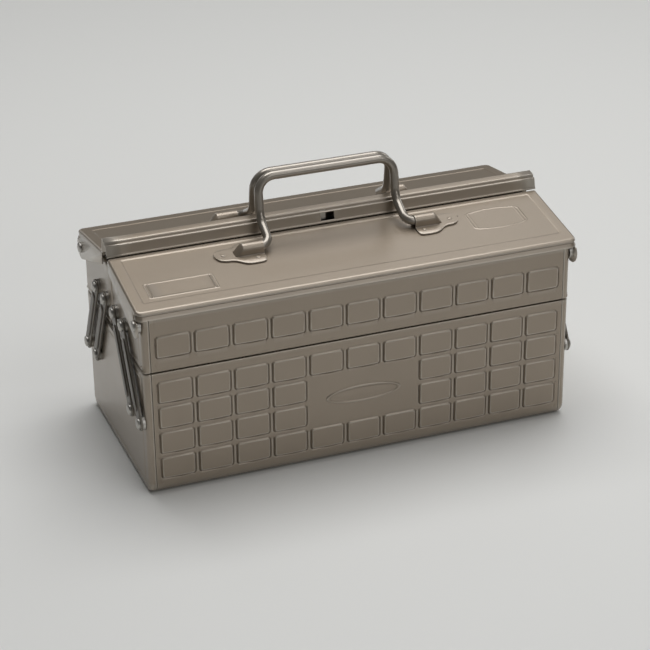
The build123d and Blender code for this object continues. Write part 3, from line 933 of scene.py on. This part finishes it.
def bail(name, body, side):
    """A handle bent from one round bar, its feet turned out into the brackets."""
    half = [(LEG_X, -GRIP_OFFSET, GRIP_HEIGHT), (LEG_X, -LEG_OFFSET, LEG_KNEE),
            (LEG_X, -FOOT_Y, FOOT_Z), (BAR_END, -FOOT_Y, FOOT_Z)]
    points = [(-x, y, z) for x, y, z in half[::-1]] + half
    bends = [8.0, 14.0, 13.0]
    route = bent_route(points, bends + bends[::-1])
    count = 28
    turns = np.linspace(0, 2 * math.pi, count + 1)[:-1]
    rings = []
    side_way = Vector((0, 0, 1))
    for number, point in enumerate(route):
        before = route[max(number - 1, 0)]
        after = route[min(number + 1, len(route) - 1)]
        heading = (after - before).normalized()
        side_way = (side_way - heading * side_way.dot(heading)).normalized()
        third = heading.cross(side_way)
        sizes = [(0.0, BAR)]
        if number == 0:
            sizes = [(0.0, BAR - 0.9), (0.3, BAR - 0.35), (0.9, BAR)]
        elif number == len(route) - 1:
            sizes = [(-0.9, BAR), (-0.3, BAR - 0.35), (0.0, BAR - 0.9)]
        for shift, radius in sizes:
            centre = point + heading * shift
            rings.append([centre + side_way * (radius * math.cos(t)) + third * (radius * math.sin(t))
                          for t in turns])
    rings = [[tuple(p) for p in ring] for ring in rings]
    Blank().rings(rings, cap_first=True, cap_last=True).piece(
        name + "_bail", body, "handle_paint", HANDLE_PAINT, [name + "_handle"], turn=(1, side))


def bracket(name, body, side, end, end_name):
    """A pressed bracket: a lobed plate, and a half-round saddle that slopes down to its closed end."""
    pivot, plate = PIVOT_IN_LID, 1.2
    axis_height, outer = BAR + 1.45, BAR + 1.15
    start, full_end, shut_end, tip = 61.2, 77.4, 83.6, 98.8
    front_edge = [(61.2, 43.5), (61.4, 41.6), (62.1, 40.0), (63.6, 39.1), (66.0, 38.8), (70.0, 38.7),
                  (74.0, 38.9), (77.0, 39.5), (79.5, 41.0), (82.0, 43.2), (84.5, 45.0), (87.0, 45.9),
                  (90.0, 46.2), (92.5, 46.6),
                  (95.0, 47.8), (97.0, 49.9), (98.3, 52.6), (98.8, 55.2)]
    rear_edge = [(61.2, 65.0), (62.0, 66.3), (64.0, 66.8), (76.0, 66.8), (78.0, 66.5), (80.0, 65.2),
                 (82.0, 63.4), (84.5, 62.5), (88.0, 62.4), (91.0, 62.3), (94.0, 61.7), (96.5, 60.3),
                 (98.0, 58.3), (98.8, 55.2)]
    columns = np.concatenate([[start, start + 0.2, start + 0.6], np.linspace(62.4, full_end, 18),
                              np.linspace(full_end, shut_end + 0.8, 26)[1:],
                              np.linspace(shut_end + 0.8, 95.5, 18)[1:],
                              tip - 3.3 * (1 - np.sin(quarter(9)[1:]))])
    lows = np.interp(columns, *np.array(front_edge).T)
    highs = np.interp(columns, *np.array(rear_edge).T)
    wall = axis_height - plate
    table = []
    for x, low, high in zip(columns, lows, highs):
        shut = min(max((x - full_end) / (shut_end - full_end), 0.0), 1.0)
        height = 1 - shut ** 1.25
        wide = outer * (1 - 0.3 * shut ** 2)
        skirt = [(-wide - 1.0, 0.0), (-wide - 0.45, 0.06), (-wide - 0.14, 0.25), (-wide, 0.6)]
        arch = [(-wide * math.cos(t), wall + outer * math.sin(t)) for t in np.linspace(0, math.pi, 25)]
        far_skirt = [(-v, h) for v, h in skirt[::-1]]
        profile = skirt + [(-wide, wall * 0.6)] + arch + [(wide, wall * 0.6)] + far_skirt
        inner = [(pivot + v, plate + h * height) for v, h in profile]
        if shut == 1.0:
            span = inner[-1][0] - inner[0][0]
            squeeze = min(1.0, (high - low - 1.0) / span) if high - low > 1.2 else 0.05
            drift = min(1.0, (x - shut_end) / 4)
            middle = (high + low) / 2 * drift + pivot * (1 - drift)
            inner = [(middle + (v - pivot) * squeeze, h) for v, h in inner]
        reach_low, reach_high = inner[0][0] - low, high - inner[-1][0]
        front = [(low, 0.1), (low, plate - 0.3), (low + 0.1 * min(reach_low, 1), plate - 0.08),
                 (low + 0.3 * min(reach_low, 1), plate), (low + reach_low * 0.6, plate)]
        rear = [(high - reach_high * 0.6, plate), (high - 0.3 * min(reach_high, 1), plate),
                (high - 0.1 * min(reach_high, 1), plate - 0.08), (high, plate - 0.3), (high, 0.1)]
        table.append([(x, v, h) for v, h in front + inner + rear])
    table = np.array(table)
    y = -LID_FRONT + table[:, :, 1] * math.cos(SLOPE) - table[:, :, 2] * math.sin(SLOPE)
    z = LID_EDGE + table[:, :, 1] * math.sin(SLOPE) + table[:, :, 2] * math.cos(SLOPE)
    blank = Blank().grid(np.stack([table[:, :, 0], y, z], axis=2))
    blank.piece(f"{name}_bracket_press_{end_name}", body, "bronze_paint", BRONZE,
                [f"{name}_handle_bracket_{end_name}"], turn=(end, side), gauge=0.9, crisp=60)


for name, side in (("front", 1), ("rear", -1)):
    bail(name, name + "_handle", side)
    bracket(name, name + "_lid", side, -1, "left")
    bracket(name, name + "_lid", side, 1, "right")


# ---------------------------------------------------------------- rivets and studs

class Steps:
    """A Geometry Nodes tree with named sizes."""

    def __init__(self, name, sizes):
        self.tree = bpy.data.node_groups.new(name, "GeometryNodeTree")
        face = self.tree.interface
        face.new_socket("Geometry", in_out="INPUT", socket_type="NodeSocketGeometry")
        self.ids = {}
        for size, value in sizes.items():
            socket = face.new_socket(size, in_out="INPUT", socket_type="NodeSocketFloat")
            socket.default_value = value
            self.ids[size] = socket.identifier
        paint = face.new_socket("Finish", in_out="INPUT", socket_type="NodeSocketMaterial")
        self.ids["Finish"] = paint.identifier
        face.new_socket("Geometry", in_out="OUTPUT", socket_type="NodeSocketGeometry")
        self.entry = self.tree.nodes.new("NodeGroupInput")
        self.exit = self.tree.nodes.new("NodeGroupOutput")

    def node(self, kind, settings, values, output=0):
        node = self.tree.nodes.new(kind)
        for key, setting in settings.items():
            setattr(node, key, setting)
        for key, value in values.items():
            if isinstance(value, bpy.types.NodeSocket):
                self.tree.links.new(value, node.inputs[key])
            else:
                node.inputs[key].default_value = value
        return node.outputs[output]

    def maths(self, operation, *terms):
        return self.node("ShaderNodeMath", {"operation": operation}, dict(enumerate(terms)))


def domed_head_steps():
    """Domed heads on points: a grid bent round into a turned profile, one for each point."""
    steps = Steps("domed_heads", {"Head Radius": 0.0042, "Head Height": 0.002, "Rim Height": 0.0005})
    radius, height, rim = (steps.entry.outputs[k] for k in ("Head Radius", "Head Height", "Rim Height"))
    grid = steps.tree.nodes.new("GeometryNodeMeshGrid")
    for key, value in (("Size X", 1.0), ("Size Y", 1.0), ("Vertices X", 33), ("Vertices Y", 12)):
        grid.inputs[key].default_value = value
    where = steps.node("GeometryNodeInputPosition", {}, {})
    split = steps.tree.nodes.new("ShaderNodeSeparateXYZ")
    steps.tree.links.new(where, split.inputs[0])
    turn = steps.maths("MULTIPLY", split.outputs[0], 2 * math.pi)
    share = steps.maths("ADD", split.outputs[1], 0.5)
    bow = steps.maths("SUBTRACT", 1.0, steps.maths("POWER", share, 2.4))
    root = steps.maths("POWER", steps.maths("MAXIMUM", bow, 0.0), 0.5)
    dome = steps.maths("MULTIPLY", steps.maths("SUBTRACT", height, rim), root)
    foot = steps.maths("LESS_THAN", share, 0.999)
    lift = steps.maths("MULTIPLY", steps.maths("ADD", dome, rim), foot)
    out = steps.maths("MULTIPLY", radius, steps.maths("MINIMUM", steps.maths("MULTIPLY", share, 1.1), 1.0))
    x = steps.maths("MULTIPLY", out, steps.maths("COSINE", turn))
    y = steps.maths("MULTIPLY", out, steps.maths("SINE", turn))
    place = steps.node("ShaderNodeCombineXYZ", {}, {0: x, 1: y, 2: lift})
    head = steps.node("GeometryNodeSetPosition", {}, {"Geometry": grid.outputs[0], "Position": place})
    head = steps.node("GeometryNodeMergeByDistance", {}, {"Geometry": head, "Distance": 0.00002})
    head = steps.node("GeometryNodeSetShadeSmooth", {}, {"Geometry": head})
    facing = steps.node("GeometryNodeInputNamedAttribute", {"data_type": "FLOAT_VECTOR"}, {"Name": "facing"})
    lean = steps.node("FunctionNodeAlignRotationToVector", {"axis": "Z"}, {"Vector": facing})
    heads = steps.node("GeometryNodeInstanceOnPoints", {},
                       {"Points": steps.entry.outputs["Geometry"], "Instance": head, "Rotation": lean})
    heads = steps.node("GeometryNodeRealizeInstances", {}, {"Geometry": heads})
    heads = steps.node("GeometryNodeSetMaterial", {},
                       {"Geometry": heads, "Material": steps.entry.outputs["Finish"]})
    steps.tree.links.new(heads, steps.exit.inputs[0])
    return steps


DOMED_HEADS = domed_head_steps()


def heads(name, body, places, facings, radius, height, rim, nodes, slot="rivet_steel", finish=RIVET_STEEL):
    """Domed heads at places, in millimetres, each facing its own way, as one mesh."""
    spots = bpy.data.meshes.new(name + "_spots")
    spots.from_pydata([tuple(c * MM for c in p) for p in places], [], [])
    facing = spots.attributes.new("facing", "FLOAT_VECTOR", "POINT")
    for number, direction in enumerate(facings):
        facing.data[number].vector = direction
    holder = bpy.data.objects.new(name + "_spots", spots)
    bpy.context.collection.objects.link(holder)
    press = holder.modifiers.new("heads", "NODES")
    press.node_group = DOMED_HEADS.tree
    for size, value in (("Head Radius", radius * MM), ("Head Height", height * MM), ("Rim Height", rim * MM)):
        press[DOMED_HEADS.ids[size]] = value
    press[DOMED_HEADS.ids["Finish"]] = finish
    shown = holder.evaluated_get(bpy.context.evaluated_depsgraph_get())
    mesh = bpy.data.meshes.new_from_object(shown)
    mesh.name = name
    holder.modifiers.clear()
    bpy.data.objects.remove(holder)
    work = bmesh.new()
    work.from_mesh(mesh)
    bmesh.ops.recalc_face_normals(work, faces=work.faces)
    work.to_mesh(mesh)
    work.free()
    mesh.shade_smooth()
    if not mesh.materials:
        mesh.materials.append(finish)
    item = bpy.data.objects.new(name, mesh)
    bpy.context.collection.objects.link(item)
    settle(item, body, slot, nodes)


def ends_of(spots, x):
    """The (y, z) spots at both ends of the box, with the way each faces."""
    places = [(end * x, y, z) for end in (-1, 1) for y, z in spots]
    facings = [(end, 0, 0) for end in (-1, 1) for _ in spots]
    return places, facings


HEAD_START = ARM_INSIDE + ARM_GAUGE
case_spots = [(sign * y, PIVOT_BOTTOM) for y in (INNER_BOTTOM, OUTER_BOTTOM) for sign in (-1, 1)]
places, facings = ends_of(case_spots, HEAD_START)
heads("case_pivot_rivet_heads", "case", places, facings, *PIVOT_HEAD, ["case_pivot_rivets"])
slope_up = (-math.sin(SLOPE), math.cos(SLOPE))
for name, side in (("front", 1), ("rear", -1)):
    spots = [(-side * y, PIVOT_TOP) for y in (INNER_TOP, OUTER_TOP)]
    places, facings = ends_of(spots, HEAD_START)
    heads(name + "_tray_pivot_rivet_heads", name + "_tray", places, facings, *PIVOT_HEAD,
          [name + "_tray_pivot_rivets"])
    places, facings = ends_of([(-side * HINGE_Y, HINGE_Z)], HALF_LID)
    heads(name + "_lid_hinge_rivet_heads", name + "_tray", places, facings, *PIVOT_HEAD,
          [name + "_lid_hinge_rivets"])
    places, facings = [], []
    for x, s in STUDS_IN_LID:
        for end in (-1, 1):
            y = -LID_FRONT + s * math.cos(SLOPE) - STUD_LIFT * math.sin(SLOPE)
            z = LID_EDGE + s * math.sin(SLOPE) + STUD_LIFT * math.cos(SLOPE)
            places.append((end * x, side * y, z))
            facings.append((0, side * slope_up[0], slope_up[1]))
    heads(name + "_bracket_stud_heads", name + "_lid", places, facings, 1.7, 0.7, 0.1,
          [name + "_bracket_studs"], "bronze_paint", BRONZE)


# ---------------------------------------------------------------- CAD pieces that stay

for name, node in frame["nodes"].items():
    if name.endswith("_spacers") or name == "lock_tongue":
        for number in range(max(1, len(node.material_slots))):
            if not node.material_slots:
                node.data.materials.append(RIVET_STEEL)
            node.material_slots[number].material = RIVET_STEEL
